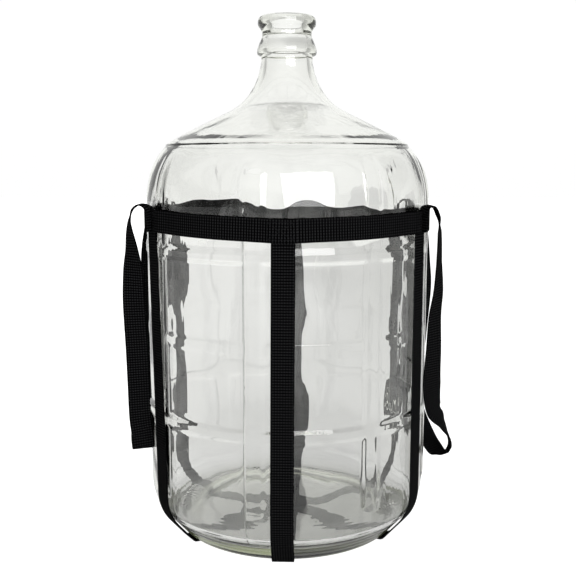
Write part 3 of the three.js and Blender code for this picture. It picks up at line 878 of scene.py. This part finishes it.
def boxed_cross(half_width, half_height):
    """The stitches of a rectangle with both its diagonals."""
    corners = [(-half_width, -half_height), (half_width, -half_height),
               (half_width, half_height), (-half_width, half_height)]
    stitches = []
    for start, end in zip(corners, corners[1:] + corners[:1]):
        stitches += stitch_line(start, end)
    stitches += stitch_line(corners[0], corners[2])
    stitches += stitch_line(corners[1], corners[3])
    return stitches


def stitch_points(middle, direction, length, place):
    """Rings of points along one stitch. place turns patch points into points in space."""
    side = np.array([-direction[1], direction[0]])
    points = []
    for along, wide in STITCH_RINGS:
        radius = wide * STITCH_RADIUS
        for angle in np.linspace(0, 2 * math.pi, STITCH_SIDES + 1)[:-1]:
            flat = middle + direction * along * length + side * radius * math.cos(angle)
            points.append(place(flat[0], flat[1], radius * math.sin(angle)))
    return points


def stitch_faces(first):
    """Faces of a stitch whose points start at first, with a cap at each end."""
    last_ring = first + (len(STITCH_RINGS) - 1) * STITCH_SIDES
    faces = []
    for ring in range(first, last_ring, STITCH_SIDES):
        for side in range(STITCH_SIDES):
            here = ring + side
            beside = ring + (side + 1) % STITCH_SIDES
            faces.append((here, beside, beside + STITCH_SIDES, here + STITCH_SIDES))
    faces.append(tuple(first + side for side in reversed(range(STITCH_SIDES))))
    faces.append(tuple(last_ring + side for side in range(STITCH_SIDES)))
    return faces


def make_stitches(name, stitches, place):
    """One raised pad of thread per stitch, on the patch that place describes."""
    vertices, faces = [], []
    for stitch in stitches:
        faces += stitch_faces(len(vertices))
        vertices += stitch_points(*stitch, place)
    return new_object(name, vertices, faces, THREAD)


def band_patch(azimuth_deg, face_radius, middle_height):
    """Places a patch on the band's outer face: across it, up it and out from it."""
    azimuth = math.radians(azimuth_deg)

    def place(across, up, out):
        turned = azimuth + across / face_radius
        radius = face_radius + out
        return (radius * math.sin(turned), -radius * math.cos(turned), middle_height + up)

    return place


def make_seams():
    """Every patch of stitching, by the name of the node that it stands for."""
    face = BAND_OVER_STRAP + WEBBING_THICKNESS
    half = STITCH_BOX / 2
    square = boxed_cross(half, half)
    made = {}
    for name, azimuth in STRAP_SEAMS.items():
        place = band_patch(azimuth, face, band_bottom(azimuth) + WEBBING_WIDTH / 2)
        made[f"{name}_stitching"] = make_stitches(f"{name}_seam", square, place)
    lap_face = face + WEBBING_THICKNESS + LAP_GAP
    place = band_patch(LAP_SEAM_DEG, lap_face, BAND_FRONT_BOTTOM + WEBBING_WIDTH / 2)
    stretched = boxed_cross(LAP_SEAM_STRETCH * half, half)
    made["band_lap_stitching"] = make_stitches("band_lap_seam", stretched, place)
    top = WEBBING_THICKNESS + 2 * LAYER_STEP
    made["base_crossing_stitching"] = make_stitches(
        "base_crossing_seam", square, lambda x, y, out: (x, y, top + out))
    return made


# ------------------------------------------------------------------ studio

FLOOR_HALF_SIZE = 8
FLOOR_DROP = 0.2 * MM
FLOOR_ALBEDO = 0.5
FLOOR_ROUGHNESS = 0.9
FLOOR_SPECULAR = 0.1
FLOOR_LIFT_TO_CAMERA = 0.6

# Spans in metres from the bottle's axis, and how strongly the floor glows at their two ends.
FLOOR_LEFT_TO_RIGHT = (-0.25, 0.1)
FLOOR_SIDEWAYS_GLOW = (0.475, 0.28)
FLOOR_NEAR_TO_FAR = (1.5, 5)
FLOOR_FAR_GLOW = (0, 0.2)
# A painted contact shadow: the floor's glow falls to a share of itself under the bottle's base.
UNDER_BASE_SHADOW = (0.05, 0.14)
UNDER_BASE_SHADOW_SHARE = (0.6, 1)

# Spans of the direction's own parts, -1 to 1, and the sky's strength at their two ends.
SKY_FRONT_TO_BACK = (-0.3, 0.5)
SKY_FRONT_TO_BACK_STRENGTH = (0.62, 1.0)
SKY_UPWARD = (-0.1, 0.3)
SKY_UPWARD_GAIN = (0, 0.02)
SKY_OUTWARD = (0.4, 0.85)
SKY_OUTWARD_GAIN = (0, -0.5)
SKY_COLOUR = (0.995, 1.0, 0.985, 1)

KEY_PLACE = (0.5, -1.67, 0.86)
KEY_AIM = (0.01, -0.13, 0.33)
KEY_WIDTH = 1.27
KEY_HEIGHT = 1.19
KEY_RADIANCE = 7


def floor_glow(nodes, links):
    """How strongly the floor glows: more to the left and far off, and less under the bottle, a painted
    contact shadow.
    """
    place = nodes.new("ShaderNodeTexCoord")
    split = nodes.new("ShaderNodeSeparateXYZ")
    links.new(place.outputs["Object"], split.inputs[0])
    from_axis = nodes.new("ShaderNodeVectorMath")
    from_axis.operation = "LENGTH"
    links.new(place.outputs["Object"], from_axis.inputs[0])
    sideways = smooth_ramp(
        nodes, links, split.outputs["X"], FLOOR_LEFT_TO_RIGHT, FLOOR_SIDEWAYS_GLOW)
    # Painted shadow: the glow is dimmed near the axis, under the base.
    shade = smooth_ramp(nodes, links, from_axis.outputs["Value"], UNDER_BASE_SHADOW, UNDER_BASE_SHADOW_SHARE)
    near = math_node(nodes, links, "MULTIPLY", sideways, shade)
    far = smooth_ramp(nodes, links, split.outputs["Y"], FLOOR_NEAR_TO_FAR, FLOOR_FAR_GLOW)
    return math_node(nodes, links, "ADD", near, far)


def make_floor():
    """A pale floor that runs into the white background, brighter to the camera than to the glass."""
    material, nodes, links = new_material("studio_floor")
    shader = nodes["Principled BSDF"]
    set_inputs(shader, {
        "Base Color": (FLOOR_ALBEDO, FLOOR_ALBEDO, FLOOR_ALBEDO, 1), "Roughness": FLOOR_ROUGHNESS,
        "Specular IOR Level": FLOOR_SPECULAR, "Emission Color": WHITE})
    path = nodes.new("ShaderNodeLightPath")
    lift = math_node(nodes, links, "MULTIPLY", path.outputs["Is Camera Ray"], FLOOR_LIFT_TO_CAMERA)
    glow = math_node(nodes, links, "ADD", floor_glow(nodes, links), lift)
    links.new(glow, shader.inputs["Emission Strength"])
    side = FLOOR_HALF_SIZE
    vertices = [(-side, -side, 0), (side, -side, 0), (side, side, 0), (-side, side, 0)]
    floor = new_object("studio_floor", vertices, [(0, 1, 2, 3)], material)
    floor.location.z = -FLOOR_DROP


def sky_strength(nodes, links):
    """How bright the sky is to the glass: greyer in front, and darker still to the sides."""
    direction = nodes.new("ShaderNodeTexCoord")
    split = nodes.new("ShaderNodeSeparateXYZ")
    links.new(direction.outputs["Generated"], split.inputs[0])
    sideways = math_node(nodes, links, "ABSOLUTE", split.outputs["X"])
    front_to_back = smooth_ramp(
        nodes, links, split.outputs["Y"], SKY_FRONT_TO_BACK, SKY_FRONT_TO_BACK_STRENGTH)
    upward = smooth_ramp(nodes, links, split.outputs["Z"], SKY_UPWARD, SKY_UPWARD_GAIN)
    outward = smooth_ramp(nodes, links, sideways, SKY_OUTWARD, SKY_OUTWARD_GAIN)
    middle = math_node(nodes, links, "ADD", front_to_back, upward)
    return math_node(nodes, links, "ADD", middle, outward)


def make_world():
    """White to the camera, and an uneven pale grey to the glass."""
    world = bpy.data.worlds.new("studio")
    bpy.context.scene.world = world
    world.use_nodes = True
    nodes, links = world.node_tree.nodes, world.node_tree.links
    to_camera = nodes.new("ShaderNodeLightPath").outputs["Is Camera Ray"]
    strength = math_node(nodes, links, "MAXIMUM", sky_strength(nodes, links), to_camera)
    tint = nodes.new("ShaderNodeMix")
    tint.data_type = "RGBA"
    set_inputs(tint, {"A": SKY_COLOUR, "B": WHITE})
    links.new(to_camera, tint.inputs["Factor"])
    links.new(tint.outputs["Result"], nodes["Background"].inputs["Color"])
    links.new(strength, nodes["Background"].inputs["Strength"])


def make_softbox(name, centre, aim, width, height, radiance):
    """A rectangular studio light facing the aim point, seen only by its light and reflection."""
    data = bpy.data.lights.new(name, "AREA")
    data.shape = "RECTANGLE"
    data.size = width
    data.size_y = height
    data.energy = radiance * width * height * math.pi
    lamp = bpy.data.objects.new(name, data)
    lamp.location = centre
    facing = Vector(aim) - Vector(centre)
    lamp.rotation_euler = facing.to_track_quat("-Z", "Y").to_euler()
    lamp.visible_camera = False
    lamp.visible_transmission = False
    bpy.context.scene.collection.objects.link(lamp)


# ------------------------------------------------------------------ assembly

# Each long strap's layer at the crossing, its two sides' azimuths at the top and the bottom in
# degrees, and the height of its tops.
STRAPS = {
    "front_to_rear_strap": (0, (-1.2, -1.8), (177.5, 175), STRAP_TOP),
    "right_front_to_left_rear_strap": (1, (60, 60), (-119, -119), JUNCTION_STRAP_TOP),
    "left_front_to_right_rear_strap": (2, (-62, -57), (119, 119), JUNCTION_STRAP_TOP),
}


def build_bottle():
    """The glass, which lifts out of the carrier."""
    bottle = make_bottle()
    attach(bottle, "bottle")
    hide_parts("glass_bottle")
    return bottle


def build_band():
    band = make_band()
    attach(band, "carrier")
    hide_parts("girth_band")
    return band


def build_seams():
    for node, seam in make_seams().items():
        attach(seam, "carrier")
        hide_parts(node)


def build_straps():
    for node, (layer, first, second, top) in STRAPS.items():
        strap = make_long_strap(f"{node}_webbing", layer, first, second, top)
        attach(strap, "carrier")
        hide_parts(node)


def build_handles():
    left, right = make_handles()
    for side, outward, handle in (("left", -1, left), ("right", 1, right)):
        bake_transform(handle)
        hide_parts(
            f"{side}_handle_loop", f"{side}_handle_front_end", f"{side}_handle_rear_end")


glass_bottle = build_bottle()
girth_band = build_band()
build_seams()
build_straps()
build_handles()
make_floor()
make_world()
make_softbox("key_softbox", KEY_PLACE, KEY_AIM, KEY_WIDTH, KEY_HEIGHT, KEY_RADIANCE)
bpy.context.scene.view_settings.view_transform = "Standard"
